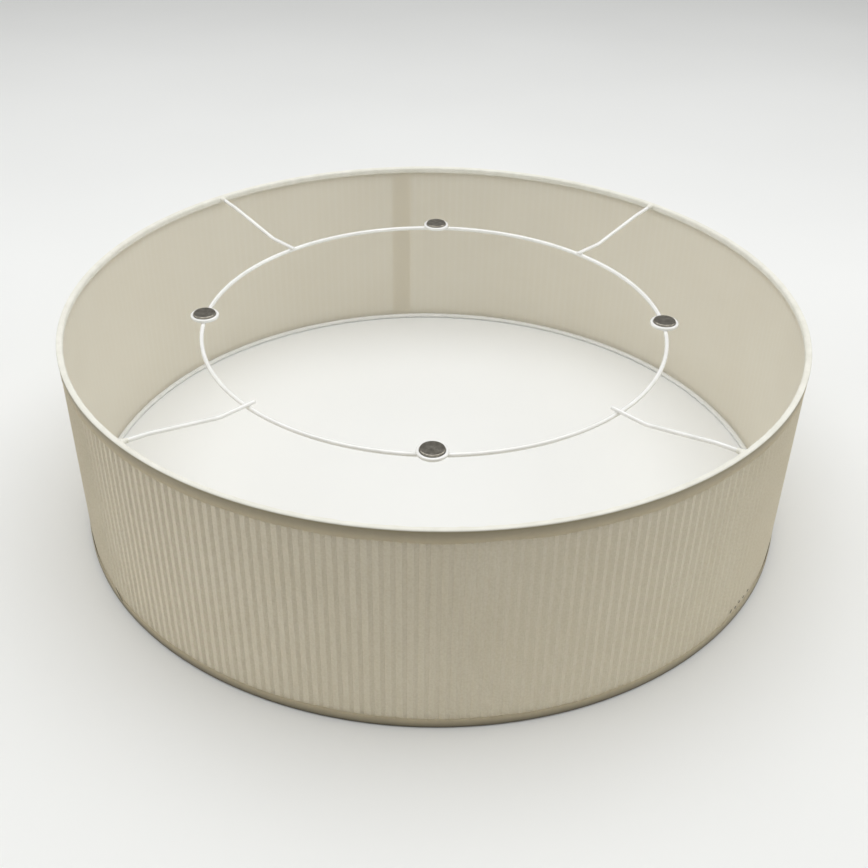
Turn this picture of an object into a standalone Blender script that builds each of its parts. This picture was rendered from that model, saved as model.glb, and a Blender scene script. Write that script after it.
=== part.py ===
"""Drum lamp shade: a pleated cover on a laminate panel, two rim wires bound in tape, and a drop ring
on four bent spokes that carries a magnet in a cup at each quarter.

Units are metres, +Z is up. The shade stands on its lower edge at z = 0, centred on the Z axis, with
its cups on the X and Y axes and its spokes on the diagonals. Nothing on it moves.
"""

import math

import bmesh
import bpy
from mathutils import Matrix, Vector

# Overall sizes
SHADE_RADIUS = 0.300
SHADE_HEIGHT = 0.175
FACETS = 72
SMALL_FACETS = 24

# Points on rounded outlines, and sides of a wire and of a collar
WIRE_SIDES = 8
COLLAR_SIDES = 12
ROLL_POINTS = 5
CORNER_POINTS = 3
MERGE_DISTANCE = 0.00001

# Clearances between pieces that are glued or welded on the real object
GAP = 0.0002
SEAM_GAP = 0.0001

# Sheets
TAPE_THICKNESS = 0.0005
COVER_THICKNESS = 0.0010
PANEL_THICKNESS = 0.0003
SEAM_TAPE_THICKNESS = 0.00015
SEAM_TAPE_INSET = 0.0010
LAP_WIDTH = 0.0195
LAP_EDGE_ANGLE = math.radians(99.0)

# Trims
TOP_LEG = 0.0105
BOTTOM_LEG = 0.0090
EDGE_ROUND = 0.0012

# Wires
RIM_WIRE = 0.0032
DROP_WIRE = 0.0034
SPOKE_WIRE = 0.0030

# Drop ring and spokes
DROP_RING_RADIUS = 0.191
DROP_RING_DEPTH = 0.021
SPOKE_SPAN = SHADE_RADIUS - DROP_RING_RADIUS
SPOKE_TIP_OVERHANG = 0.0055
SPOKE_LEVEL_LENGTH = SPOKE_SPAN * 26 / 109
SPOKE_RISE_END_INSET = SPOKE_SPAN * 26 / 109
SPOKE_RISE_END_DEPTH = 0.0050
SPOKE_BEND_RADIUS = SPOKE_SPAN * 30 / 109
COLLAR_LENGTH = 0.0055
COLLAR_ROOT_RADIUS = 0.0022
COLLAR_TIP_RADIUS = 0.0020

# Magnets and their cups
MAGNET_RADIUS = 0.0091
MAGNET_HEIGHT = 0.0030
MAGNET_EDGE = 0.0007
MAGNET_CLEARANCE = 0.0003
CUP_WALL = 0.0023
CUP_RADIUS = MAGNET_RADIUS + MAGNET_CLEARANCE + CUP_WALL
CUP_HEIGHT = 0.0026
CUP_FLOOR = 0.0008
CUP_LIP = 0.0010
CUP_FOOT_INSET = 0.0008

# Radii of the layers, from the outside in
TAPE_INNER = SHADE_RADIUS - TAPE_THICKNESS
COVER_OUTER = TAPE_INNER - GAP
COVER_INNER = COVER_OUTER - COVER_THICKNESS
LAP_OUTER = COVER_INNER - GAP
LAP_INNER = LAP_OUTER - PANEL_THICKNESS
PANEL_OUTER = LAP_INNER - SEAM_TAPE_THICKNESS - 2 * SEAM_GAP
PANEL_INNER = PANEL_OUTER - PANEL_THICKNESS
RIM_WIRE_CENTRE = PANEL_INNER - GAP - RIM_WIRE / 2

# Depths from either edge
EDGE_DEPTH = TAPE_THICKNESS + GAP
COVER_EDGE_DEPTH = EDGE_ROUND + GAP
WIRE_DEPTH = EDGE_DEPTH + RIM_WIRE / 2
ROLL_INNER = RIM_WIRE / 2 + GAP
ROLL_OUTER = ROLL_INNER + TAPE_THICKNESS

# Heights of the drop ring and what it carries
DROP_RING_Z = SHADE_HEIGHT - DROP_RING_DEPTH
DROP_RING_TOP = DROP_RING_Z + DROP_WIRE / 2
SPOKE_LEVEL_Z = DROP_RING_TOP + GAP + SPOKE_WIRE / 2
CUP_Z = DROP_RING_TOP + GAP
MAGNET_Z = CUP_Z + CUP_FLOOR + GAP

QUARTERS = {"east": 0.0, "north": 90.0, "west": 180.0, "south": 270.0}
DIAGONALS = {"northeast": 45.0, "northwest": 135.0, "southwest": 225.0, "southeast": 315.0}

COLLECTION_NAME = "lamp_shade"
CUTTER_COLLECTION_NAME = "lamp_shade_cutters"


def clear_scene():
    """Remove every object of the scene."""
    for obj in list(bpy.data.objects):
        bpy.data.objects.remove(obj, do_unlink=True)


def new_collection(name):
    """Return a new collection, linked to the scene."""
    collection = bpy.data.collections.new(name)
    bpy.context.scene.collection.children.link(collection)
    return collection


def principled(name, colour, roughness, metallic=0.0):
    """Return a material whose Principled BSDF has this linear colour, roughness and metallic value."""
    material = bpy.data.materials.new(name)
    material.use_nodes = True
    shader = material.node_tree.nodes["Principled BSDF"]
    shader.inputs["Base Color"].default_value = (*colour, 1.0)
    shader.inputs["Roughness"].default_value = roughness
    shader.inputs["Metallic"].default_value = metallic
    return material


def add_object(name, data, material, collection):
    """Link an object that holds this data, with its own material."""
    obj = bpy.data.objects.new(name, data)
    if material is not None:
        data.materials.append(material)
    collection.objects.link(obj)
    return obj


def as_cutter(obj):
    """Keep a helper out of renders and drawn as wire."""
    obj.hide_render = True
    obj.display_type = "WIRE"
    return obj


def turned(name, profile, closed, facets, material, collection):
    """Turn a profile of (radius, z) points round the Z axis, running down its outer side."""
    mesh = bpy.data.meshes.new(name)
    points = [(radius, 0.0, z) for radius, z in profile]
    edges = [(i, i + 1) for i in range(len(points) - 1)]
    if closed:
        edges.append((len(points) - 1, 0))
    mesh.from_pydata(points, edges, [])
    obj = add_object(name, mesh, material, collection)
    screw = obj.modifiers.new("Turn", "SCREW")
    screw.steps = facets
    screw.render_steps = facets
    screw.use_merge_vertices = True
    screw.merge_threshold = MERGE_DISTANCE
    screw.use_smooth_shade = True
    return obj


def arc(centre, radius, start, end, count):
    """Return count points of an arc in a plane, between two angles in degrees."""
    steps = [math.radians(start + (end - start) * i / (count - 1)) for i in range(count)]
    return [(centre[0] + radius * math.cos(a), centre[1] + radius * math.sin(a)) for a in steps]


def wire_profile(centre, radius):
    """Return an octagon round a point, clockwise."""
    return arc(centre, radius, 0.0, -360.0, WIRE_SIDES + 1)[:-1]


def trim_profile(leg):
    """Return the folded tape's outline for a top edge at z = 0.

    The tape runs up the outside, over the edge, round the rim wire and back to the panel's inner face.
    """
    wire = (RIM_WIRE_CENTRE, -WIRE_DEPTH)
    corner = (SHADE_RADIUS - EDGE_ROUND, -EDGE_ROUND)
    tuck = PANEL_INNER - GAP
    bend = EDGE_ROUND - TAPE_THICKNESS
    outside = arc(wire, ROLL_OUTER, 270.0, 90.0, ROLL_POINTS)
    outside += arc(corner, EDGE_ROUND, 90.0, 0.0, CORNER_POINTS)
    inside = arc(corner, bend, 0.0, 90.0, CORNER_POINTS)
    inside += arc(wire, ROLL_INNER, 90.0, 270.0, ROLL_POINTS)
    outline = [(tuck, wire[1] - ROLL_OUTER)] + outside + [(SHADE_RADIUS, -leg), (TAPE_INNER, -leg)]
    return outline + inside + [(tuck, wire[1] - ROLL_INNER)]


def on_facet(radius, angle):
    """Return the radius, at an angle, of a FACETS-sided polygon whose corners have this radius."""
    step = 2 * math.pi / FACETS
    return radius * math.cos(step / 2) / math.cos(angle % step - step / 2)


def strip(name, path, low, high, thickness, material, collection):
    """Stand a sheet on edge: (radius, angle) points raised from low to high, then thickened."""
    bm = bmesh.new()
    verts = []
    for radius, angle in path:
        r = on_facet(radius, angle)
        verts.append(bm.verts.new((r * math.cos(angle), r * math.sin(angle), low)))
    edges = [bm.edges.new(pair) for pair in zip(verts, verts[1:])]
    raised = bmesh.ops.extrude_edge_only(bm, edges=edges)["geom"]
    top = [item for item in raised if isinstance(item, bmesh.types.BMVert)]
    bmesh.ops.translate(bm, verts=top, vec=(0.0, 0.0, high - low))
    mesh = bpy.data.meshes.new(name)
    bm.to_mesh(mesh)
    bm.free()
    obj = add_object(name, mesh, material, collection)
    solidify = obj.modifiers.new("Sheet", "SOLIDIFY")
    solidify.thickness = thickness
    solidify.offset = 0.0
    solidify.use_even_offset = True
    return obj


def grid_angles(start, end):
    """Return the angles from start down to end, with each corner of the facets between them."""
    step = 2 * math.pi / FACETS
    first = math.ceil(start / step) - 1
    last = math.floor(end / step) + 1
    return [start] + [i * step for i in range(first, last - 1, -1)] + [end]


def add_panel(collection):
    """Roll the laminate panel once round and over its own start, where the outer layer steps out."""
    material = principled("laminate", (0.60, 0.55, 0.44), 0.55)
    lap_sweep = LAP_WIDTH / PANEL_INNER
    lap_start = LAP_EDGE_ANGLE - 2 * math.pi
    step_out = lap_start + 2 * math.pi / FACETS
    inner_layer = (PANEL_INNER + PANEL_OUTER) / 2
    outer_layer = (LAP_INNER + LAP_OUTER) / 2
    angles = grid_angles(LAP_EDGE_ANGLE, lap_start - lap_sweep)
    path = [(outer_layer if angle <= step_out else inner_layer, angle) for angle in angles]
    high = SHADE_HEIGHT - EDGE_DEPTH
    strip("backing_panel", path, EDGE_DEPTH, high, PANEL_THICKNESS, material, collection)


def add_seam_tape(collection):
    """Stand the double-sided tape between the two layers of the lap."""
    material = principled("adhesive_tape", (0.62, 0.60, 0.52), 0.4)
    radius = (PANEL_OUTER + LAP_INNER) / 2
    inset = SEAM_TAPE_INSET / radius
    start = LAP_EDGE_ANGLE - inset
    angles = grid_angles(start, LAP_EDGE_ANGLE - LAP_WIDTH / PANEL_INNER + inset)
    path = [(radius, angle) for angle in angles]
    low = EDGE_DEPTH + SEAM_TAPE_INSET
    high = SHADE_HEIGHT - low
    strip("seam_tape", path, low, high, SEAM_TAPE_THICKNESS, material, collection)


def add_cover(collection):
    """Turn the envelope of the pleated fabric, whose edges end under the trims' legs."""
    material = principled("pleated_fabric", (0.62, 0.56, 0.45), 0.9)
    low = COVER_EDGE_DEPTH
    high = SHADE_HEIGHT - COVER_EDGE_DEPTH
    profile = [(COVER_INNER, high), (COVER_OUTER, high), (COVER_OUTER, low), (COVER_INNER, low)]
    turned("pleated_cover", profile, True, FACETS, material, collection)


def add_rings(collection):
    """Turn the two rim wires and the drop ring."""
    coated = principled("coated_wire", (0.85, 0.85, 0.82), 0.3)
    bare = principled("bare_wire", (0.45, 0.45, 0.44), 0.4, 1.0)
    rim = RIM_WIRE / 2
    top = wire_profile((RIM_WIRE_CENTRE, SHADE_HEIGHT - WIRE_DEPTH), rim)
    bottom = wire_profile((RIM_WIRE_CENTRE, WIRE_DEPTH), rim)
    drop = wire_profile((DROP_RING_RADIUS, DROP_RING_Z), DROP_WIRE / 2)
    turned("top_ring", top, True, FACETS, bare, collection)
    turned("bottom_ring", bottom, True, FACETS, bare.copy(), collection)
    turned("drop_ring", drop, True, FACETS, coated, collection)


def spoke_corners():
    """Return a spoke's tip, two bends and outer end as (radius, z) points."""
    tip = (DROP_RING_RADIUS - SPOKE_TIP_OVERHANG, SPOKE_LEVEL_Z)
    first_bend = (DROP_RING_RADIUS + SPOKE_LEVEL_LENGTH, SPOKE_LEVEL_Z)
    second_bend = (SHADE_RADIUS - SPOKE_RISE_END_INSET, SHADE_HEIGHT - SPOKE_RISE_END_DEPTH)
    end = (RIM_WIRE_CENTRE - RIM_WIRE / 2 - GAP, SHADE_HEIGHT - WIRE_DEPTH)
    return [Vector(point) for point in (tip, first_bend, second_bend, end)]


def rounded_corner(before, corner, after, radius, count):
    """Return count points of the arc that rounds a corner between two straight runs."""
    inward = (before - corner).normalized()
    outward = (after - corner).normalized()
    turn = inward.angle(outward)
    reach = radius / math.tan(turn / 2)
    middle = (inward + outward).normalized()
    centre = corner + middle * math.hypot(radius, reach)
    start = corner + inward * reach - centre
    end = corner + outward * reach - centre
    rays = [start.lerp(end, i / (count - 1)).normalized() for i in range(count)]
    return [centre + ray * radius for ray in rays]


def add_spokes(collection):
    """Bend a wire for each diagonal: level over the drop ring, then rising to the top ring."""
    tip, first, second, end = spoke_corners()
    material = principled("coated_spoke", (0.85, 0.85, 0.82), 0.3)
    route = [tip]
    route += rounded_corner(tip, first, second, SPOKE_BEND_RADIUS, CORNER_POINTS)
    route += rounded_corner(first, second, end, SPOKE_BEND_RADIUS, CORNER_POINTS)
    route += [end]
    for name, degrees in DIAGONALS.items():
        curve = bpy.data.curves.new(f"spoke_{name}", "CURVE")
        curve.dimensions = "3D"
        curve.bevel_depth = SPOKE_WIRE / 2
        curve.bevel_resolution = 2
        curve.use_fill_caps = True
        spline = curve.splines.new("POLY")
        spline.points.add(len(route) - 1)
        for point, (radius, z) in zip(spline.points, route):
            point.co = (radius, 0.0, z, 1.0)
        obj = add_object(f"spoke_{name}", curve, material.copy(), collection)
        obj.rotation_euler.z = math.radians(degrees)


def add_cone(name, root, tip, root_radius, tip_radius, collection):
    """Stand a round helper with flat ends between two points."""
    bm = bmesh.new()
    length = (tip - root).length
    bmesh.ops.create_cone(
        bm,
        cap_ends=True,
        segments=COLLAR_SIDES,
        radius1=root_radius,
        radius2=tip_radius,
        depth=length,
    )
    turn = (tip - root).to_track_quat("Z", "Y").to_matrix().to_4x4()
    bmesh.ops.transform(bm, matrix=Matrix.Translation((root + tip) / 2) @ turn, verts=bm.verts)
    mesh = bpy.data.meshes.new(name)
    bm.to_mesh(mesh)
    bm.free()
    return as_cutter(add_object(name, mesh, None, collection))


def add_boolean(obj, operation, other):
    """Cut or join another mesh with this one."""
    boolean = obj.modifiers.new(other.name, "BOOLEAN")
    boolean.operation = operation
    boolean.solver = "EXACT"
    boolean.object = other


def add_trims(collection, cutters):
    """Fold the tape over both edges, and draw it out along each spoke as a short collar."""
    material = principled("trim_tape", (0.80, 0.77, 0.66), 0.85)
    top_profile = [(r, SHADE_HEIGHT + z) for r, z in trim_profile(TOP_LEG)]
    bottom_profile = [(r, -z) for r, z in reversed(trim_profile(BOTTOM_LEG))]
    top = turned("top_trim", top_profile, True, FACETS, material, collection)
    turned("bottom_trim", bottom_profile, True, FACETS, material.copy(), collection)

    mid_tape = ROLL_INNER + TAPE_THICKNESS / 2
    clearance = wire_profile((RIM_WIRE_CENTRE, SHADE_HEIGHT - WIRE_DEPTH), mid_tape)
    ring_room = as_cutter(turned("ring_room", clearance, True, FACETS, None, cutters))
    _, _, bend, end = spoke_corners()
    along = Vector((bend[0] - end[0], 0.0, bend[1] - end[1])).normalized()
    end = Vector((end[0], 0.0, end[1]))
    roll_face = end - along * (ROLL_OUTER - RIM_WIRE / 2 - GAP)
    collars = []
    bores = []
    for name, degrees in DIAGONALS.items():
        turn = Matrix.Rotation(math.radians(degrees), 3, "Z")
        root = turn @ roll_face
        tip = turn @ (end + along * (TAPE_THICKNESS + COLLAR_LENGTH))
        collar = add_cone(f"collar_{name}", root, tip, COLLAR_ROOT_RADIUS, COLLAR_TIP_RADIUS, cutters)
        add_boolean(collar, "DIFFERENCE", ring_room)
        collars.append(collar)
        bore_radius = SPOKE_WIRE / 2 + GAP
        past_tip = turn @ (end + along * (TAPE_THICKNESS + 2 * COLLAR_LENGTH))
        bores.append(add_cone(f"bore_{name}", root, past_tip, bore_radius, bore_radius, cutters))
    for collar in collars:
        add_boolean(top, "UNION", collar)
    for bore in bores:
        add_boolean(top, "DIFFERENCE", bore)


def add_magnets(collection):
    """Stand a cup with its disc magnet on the drop ring at each quarter."""
    enamel = principled("coated_cup", (0.86, 0.86, 0.83), 0.3)
    nickel = principled("nickel_plate", (0.55, 0.53, 0.50), 0.15, 1.0)
    bore = MAGNET_RADIUS + MAGNET_CLEARANCE
    cup = [
        (0.0, CUP_FLOOR),
        (bore, CUP_FLOOR),
        (bore, CUP_HEIGHT - CUP_LIP / 2),
        (bore + CUP_LIP / 2, CUP_HEIGHT),
        *arc((CUP_RADIUS - CUP_LIP, CUP_HEIGHT - CUP_LIP), CUP_LIP, 90.0, 0.0, CORNER_POINTS),
        (CUP_RADIUS, CUP_FOOT_INSET),
        (CUP_RADIUS - CUP_FOOT_INSET, 0.0),
        (0.0, 0.0),
    ]
    edge_centre = (MAGNET_RADIUS - MAGNET_EDGE, MAGNET_HEIGHT - MAGNET_EDGE)
    magnet = [
        (0.0, MAGNET_HEIGHT),
        *arc(edge_centre, MAGNET_EDGE, 90.0, 0.0, CORNER_POINTS),
        (MAGNET_RADIUS, 0.0),
        (0.0, 0.0),
    ]
    for name, degrees in QUARTERS.items():
        angle = math.radians(degrees)
        x = DROP_RING_RADIUS * math.cos(angle)
        y = DROP_RING_RADIUS * math.sin(angle)
        holder = turned(f"magnet_cup_{name}", cup, False, SMALL_FACETS, enamel.copy(), collection)
        holder.location = (x, y, CUP_Z)
        disc = turned(f"magnet_{name}", magnet, False, SMALL_FACETS, nickel.copy(), collection)
        disc.location = (x, y, MAGNET_Z)


def main():
    """Build the shade."""
    clear_scene()
    shade = new_collection(COLLECTION_NAME)
    cutters = new_collection(CUTTER_COLLECTION_NAME)
    add_panel(shade)
    add_seam_tape(shade)
    add_cover(shade)
    add_rings(shade)
    add_spokes(shade)
    add_trims(shade, cutters)
    add_magnets(shade)


main()
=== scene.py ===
"""Look of a shallow drum lamp shade: a pleated cover on a laminate panel, both edges bound in woven tape,
and a drop ring on four bent spokes that carries a magnet in a cup at each quarter.

Units are metres, +Z is up, and the shade stands on its lower edge at z = 0, centred on the Z axis.
Most shapes are surfaces of two parameters: a profile of (radius, height) points carried round the axis.
"""

import logging
import math
from dataclasses import dataclass
from enum import Enum
from typing import Any

import bmesh
import bpy
import numpy as np
from mathutils import Matrix, Vector


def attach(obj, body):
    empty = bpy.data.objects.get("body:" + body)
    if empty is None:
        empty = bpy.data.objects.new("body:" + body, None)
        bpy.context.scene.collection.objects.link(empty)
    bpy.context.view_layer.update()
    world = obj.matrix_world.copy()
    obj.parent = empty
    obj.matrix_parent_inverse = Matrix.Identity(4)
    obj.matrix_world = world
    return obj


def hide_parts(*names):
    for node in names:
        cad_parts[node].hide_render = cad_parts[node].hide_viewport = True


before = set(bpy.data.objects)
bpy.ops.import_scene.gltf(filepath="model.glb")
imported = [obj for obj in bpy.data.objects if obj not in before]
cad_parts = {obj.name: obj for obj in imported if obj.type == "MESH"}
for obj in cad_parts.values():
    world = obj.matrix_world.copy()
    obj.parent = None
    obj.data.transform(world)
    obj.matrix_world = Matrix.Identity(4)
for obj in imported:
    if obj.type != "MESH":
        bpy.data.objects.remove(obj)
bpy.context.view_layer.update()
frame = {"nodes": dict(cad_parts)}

LOG = logging.getLogger("lamp_shade")
BODY = "root"
MM = 0.001
FULL_TURN = 2.0 * math.pi
POLE_MERGE = 1e-7
PLEATS = 256
SHADE_HEIGHT = 175.0 * MM
SHADE_RADIUS = 300.0 * MM
TOP_WIRE_RADIUS = 297.05 * MM
LOW_WIRE_RADIUS = 295.6 * MM

Array = np.ndarray
Colour = tuple[float, float, float, float]


class Slot(Enum):
    """The names of the material slots that each piece is logged with."""

    FABRIC = "pleated_fabric"
    LAMINATE = "laminate"
    ADHESIVE = "adhesive_tape"
    TAPE = "trim_tape"
    COATED = "coated_wire"
    BARE = "bare_wire"
    NICKEL = "nickel"


class Edge(Enum):
    """The two edges of the drum that a tape is folded over."""

    TOP = 1.0
    BOTTOM = -1.0


# ---------------------------------------------------------------------------
# Material helpers
# ---------------------------------------------------------------------------


def linear(hex_code: str) -> Colour:
    """Turn an sRGB hex colour into a linear colour with alpha 1.

    Args:
        hex_code: Six hex digits.

    Returns:
        The linear red, green, blue and alpha.
    """
    channels = [int(hex_code[i : i + 2], 16) / 255.0 for i in (0, 2, 4)]
    low, high = [c / 12.92 for c in channels], [((c + 0.055) / 1.055) ** 2.4 for c in channels]
    red, green, blue = (h if c > 0.04045 else w for c, w, h in zip(channels, low, high))
    return (red, green, blue, 1.0)


def add_node(tree: Any, kind: str, inputs: dict[Any, Any] | None = None, **settings: Any) -> Any:
    """Add a node with its settings, and set or link its inputs.

    Args:
        tree: The node tree.
        kind: The node's type name, without the ShaderNode in front.
        inputs: A value or an output socket for each input, by name or number.
        **settings: The node's own properties.

    Returns:
        The new node.
    """
    node = tree.nodes.new("ShaderNode" + kind)
    for name, value in settings.items():
        setattr(node, name, value)
    for name, value in (inputs or {}).items():
        if isinstance(value, bpy.types.NodeSocket):
            tree.links.new(value, node.inputs[name])
        else:
            node.inputs[name].default_value = value
    return node


def new_material(name: str) -> tuple[bpy.types.Material, Any]:
    """Start a material whose node tree holds only an output.

    Args:
        name: The real material and how it is made.

    Returns:
        The material and its node tree.
    """
    material = bpy.data.materials.new(name)
    material.use_nodes = True
    tree = material.node_tree
    tree.nodes.clear()
    add_node(tree, "OutputMaterial")
    return material, tree


def show(tree: Any, shader: Any) -> None:
    """Link a shader socket to the tree's output."""
    tree.links.new(shader, tree.nodes["Material Output"].inputs["Surface"])


def tint(tree: Any, factor: Any, dark: str, light: str, low: float = 0.0, high: float = 1.0) -> Any:
    """Turn a factor into a colour between two hex colours.

    Args:
        tree: The node tree.
        factor: The socket that drives the colour.
        dark: The hex colour at low.
        light: The hex colour at high.
        low: The factor that gives dark.
        high: The factor that gives light.

    Returns:
        The colour socket.
    """
    ramp = add_node(tree, "ValToRGB", {"Fac": factor})
    ramp.color_ramp.elements[0].position = low
    ramp.color_ramp.elements[1].position = high
    ramp.color_ramp.elements[0].color = linear(dark)
    ramp.color_ramp.elements[1].color = linear(light)
    return ramp.outputs["Color"]


def multiply(tree: Any, first: Any, second: Any, factor: float = 1.0) -> Any:
    """Multiply two colours, the second one weakened by the factor.

    Args:
        tree: The node tree.
        first: The first colour's socket.
        second: The second colour's socket.
        factor: How much of the second colour counts.

    Returns:
        The colour socket.
    """
    inputs = {"Factor": factor, 6: first, 7: second}
    mix = add_node(tree, "Mix", inputs, data_type="RGBA", blend_type="MULTIPLY")
    return mix.outputs[2]


def work_out(tree: Any, operation: str, first: Any, second: Any = 0.0) -> Any:
    """Return a socket with the result of one Math operation on two values or sockets."""
    return add_node(tree, "Math", {0: first, 1: second}, operation=operation).outputs[0]


def remap(tree: Any, value: Any, span: tuple[float, float], to: tuple[float, float] = (0.0, 1.0)) -> Any:
    """Carry a value from one span to another, held at its ends.

    Args:
        tree: The node tree.
        value: The value's socket.
        span: The values that give the ends.
        to: The ends.

    Returns:
        The new value's socket.
    """
    inputs = {"Value": value, "From Min": span[0], "From Max": span[1], "To Min": to[0], "To Max": to[1]}
    return add_node(tree, "MapRange", inputs).outputs[0]


def blend(tree: Any, share: Any, first: Any, second: Any) -> Any:
    """Return the socket of a colour that goes from the first to the second as the share goes from 0 to 1."""
    return add_node(tree, "Mix", {"Factor": share, 6: first, 7: second}, data_type="RGBA").outputs[2]


def cloth_axes(tree: Any) -> Any:
    """Return the node that splits the piece's own UV map, laid out in metres, into its axes."""
    uv = add_node(tree, "UVMap", uv_map="cloth")
    return add_node(tree, "SeparateXYZ", {"Vector": uv.outputs["UV"]})


def weave(tree: Any, pitch: float) -> Any:
    """Return the height of a plain weave on the piece's own UV map, which is laid out in metres.

    The height is sin(2 pi u / pitch) times sin(2 pi v / pitch), so it bulges over every other crossing.

    Args:
        tree: The node tree.
        pitch: Two threads' width, in metres.

    Returns:
        The height socket, from -1 to 1.
    """
    axes = cloth_axes(tree)
    turns = FULL_TURN / pitch
    waves = [work_out(tree, "SINE", work_out(tree, "MULTIPLY", axes.outputs[k], turns)) for k in ("X", "Y")]
    return work_out(tree, "MULTIPLY", waves[0], waves[1])


def noise(tree: Any, size: float, detail: float = 2.0) -> Any:
    """Return a noise factor on Object coordinates.

    Args:
        tree: The node tree.
        size: The lumps' size, in metres.
        detail: How many finer octaves are added.

    Returns:
        The factor's socket.
    """
    place = add_node(tree, "TexCoord")
    inputs = {"Vector": place.outputs["Object"], "Scale": 1.0 / size, "Detail": detail}
    return add_node(tree, "TexNoise", inputs).outputs["Fac"]


def bump(tree: Any, height: Any, strength: float, distance: float, normal: Any = None) -> Any:
    """Return a normal socket bumped by a height.

    Args:
        tree: The node tree.
        height: The height socket.
        strength: How much of the bump is used.
        distance: How high a height of 1 stands, in metres.
        normal: A normal socket that this bump adds to.

    Returns:
        The normal socket.
    """
    inputs = {"Height": height, "Strength": strength, "Distance": distance}
    if normal is not None:
        inputs["Normal"] = normal
    return add_node(tree, "Bump", inputs).outputs["Normal"]


def show_with_glow(tree: Any, face: Any, glow: str, share: Any, normal: Any = None) -> None:
    """Show a face mixed with the light that comes through the cloth or film from behind.

    Args:
        tree: The node tree.
        face: The face's shader node.
        glow: The hex colour of the light that comes through.
        share: How much comes through, as a value or a socket.
        normal: The face's normal socket.
    """
    inputs = {"Color": linear(glow)}
    if normal is not None:
        inputs["Normal"] = normal
    through = add_node(tree, "BsdfTranslucent", inputs)
    both = {"Fac": share, 1: face.outputs[0], 2: through.outputs[0]}
    show(tree, add_node(tree, "MixShader", both).outputs[0])


# ---------------------------------------------------------------------------
# Finishes
# ---------------------------------------------------------------------------


@dataclass(frozen=True)
class PleatedPolycotton:
    """Plain-woven polyester-cotton, heat-set in pleats: matt, and it glows where light comes through."""

    dark: str = "eae3d2"
    light: str = "f0eadb"
    glow: str = "f6f0e3"
    see_through: float = 0.55
    thread_pitch: float = 0.9 * MM  # real threads lie 0.35 mm apart, too fine to show
    rise_share: float = 0.6
    crease: float = 2.4 * MM
    roughness: float = 0.9

    def pleat_height(self, tree: Any) -> Any:
        """Draw a pleat's height: a straight climb over rise_share of its pitch, then a straight fall.

        Args:
            tree: The node tree.

        Returns:
            The height's socket, from 0 to 1.
        """
        place = add_node(tree, "Attribute", attribute_name="pleat")
        whole = work_out(tree, "FRACT", place.outputs["Fac"])
        climb = work_out(tree, "DIVIDE", whole, self.rise_share)
        fall = work_out(tree, "DIVIDE", work_out(tree, "SUBTRACT", 1.0, whole), 1.0 - self.rise_share)
        return work_out(tree, "MINIMUM", climb, fall)

    def build(self) -> bpy.types.Material:
        """Make soft mottling, a fine weave and thin cloth's glow.

        Returns:
            The material.
        """
        material, tree = new_material("pleated_polycotton_woven")
        colour = tint(tree, noise(tree, 45 * MM, 3.0), self.dark, self.light, 0.3, 0.7)
        slubs = tint(tree, noise(tree, 1.6 * MM, 2.0), "f0eee8", "ffffff", 0.35, 0.6)
        colour = multiply(tree, colour, slubs)
        normal = bump(tree, self.pleat_height(tree), 1.0, self.crease)
        normal = bump(tree, weave(tree, self.thread_pitch), 0.35, 0.05 * MM, normal)
        normal = bump(tree, noise(tree, 2.5 * MM), 0.3, 0.10 * MM, normal)
        face = add_node(
            tree,
            "BsdfPrincipled",
            {
                "Base Color": colour,
                "Roughness": self.roughness,
                "Sheen Weight": 0.15,
                "Sheen Roughness": 0.5,
                "Specular IOR Level": 0.2,
                "Normal": normal,
            },
        )
        show_with_glow(tree, face, self.glow, self.see_through, normal)
        return material


@dataclass(frozen=True)
class ShadeLaminate:
    """Calendered styrene film under the cloth: smooth, satin, milky, with painted bands for the pleats seen
    through it.
    """

    dark: str = "efebe0"
    light: str = "f3f0e6"
    # painted shade: the lap's own tone stands for the doubled film passing less light
    lap: str = "f3eee2"
    glow: str = "f9f7ee"
    see_through: float = 0.45
    roughness: float = 0.42
    lap_width: float = 19.5 * MM
    pleat_pitch: float = 7.37 * MM

    def build(self) -> bpy.types.Material:
        """Make mottled film, painted bands of light and shade where the pleats show through, and a painted
        shade on the lap where the film lies double.

        Returns:
            The material.
        """
        material, tree = new_material("styrene_laminate_calendered")
        colour = tint(tree, noise(tree, 60 * MM, 3.0), self.dark, self.light, 0.3, 0.7)
        along = cloth_axes(tree).outputs["X"]
        # painted light and shade: faint bands at the pleat pitch stand for the pleats seen through the film
        wave = work_out(tree, "SINE", work_out(tree, "MULTIPLY", along, FULL_TURN / self.pleat_pitch))
        painted_pleat_shade = tint(tree, wave, "faf9f6", "ffffff", 0.0, 0.9)
        uneven = work_out(tree, "MULTIPLY", noise(tree, 90 * MM), 0.9)
        shown = blend(tree, uneven, colour, multiply(tree, colour, painted_pleat_shade))
        # painted shade: the lap, where the film lies double, takes its own tone
        lap_shade_mask = work_out(tree, "LESS_THAN", along, self.lap_width)
        lap_shaded = blend(tree, lap_shade_mask, shown, linear(self.lap))
        normal = bump(tree, noise(tree, 5 * MM), 0.15, 0.06 * MM)
        face = add_node(
            tree,
            "BsdfPrincipled",
            {"Base Color": lap_shaded, "Roughness": self.roughness, "Normal": normal},
        )
        show_with_glow(tree, face, self.glow, self.see_through, normal)
        return material


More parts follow.
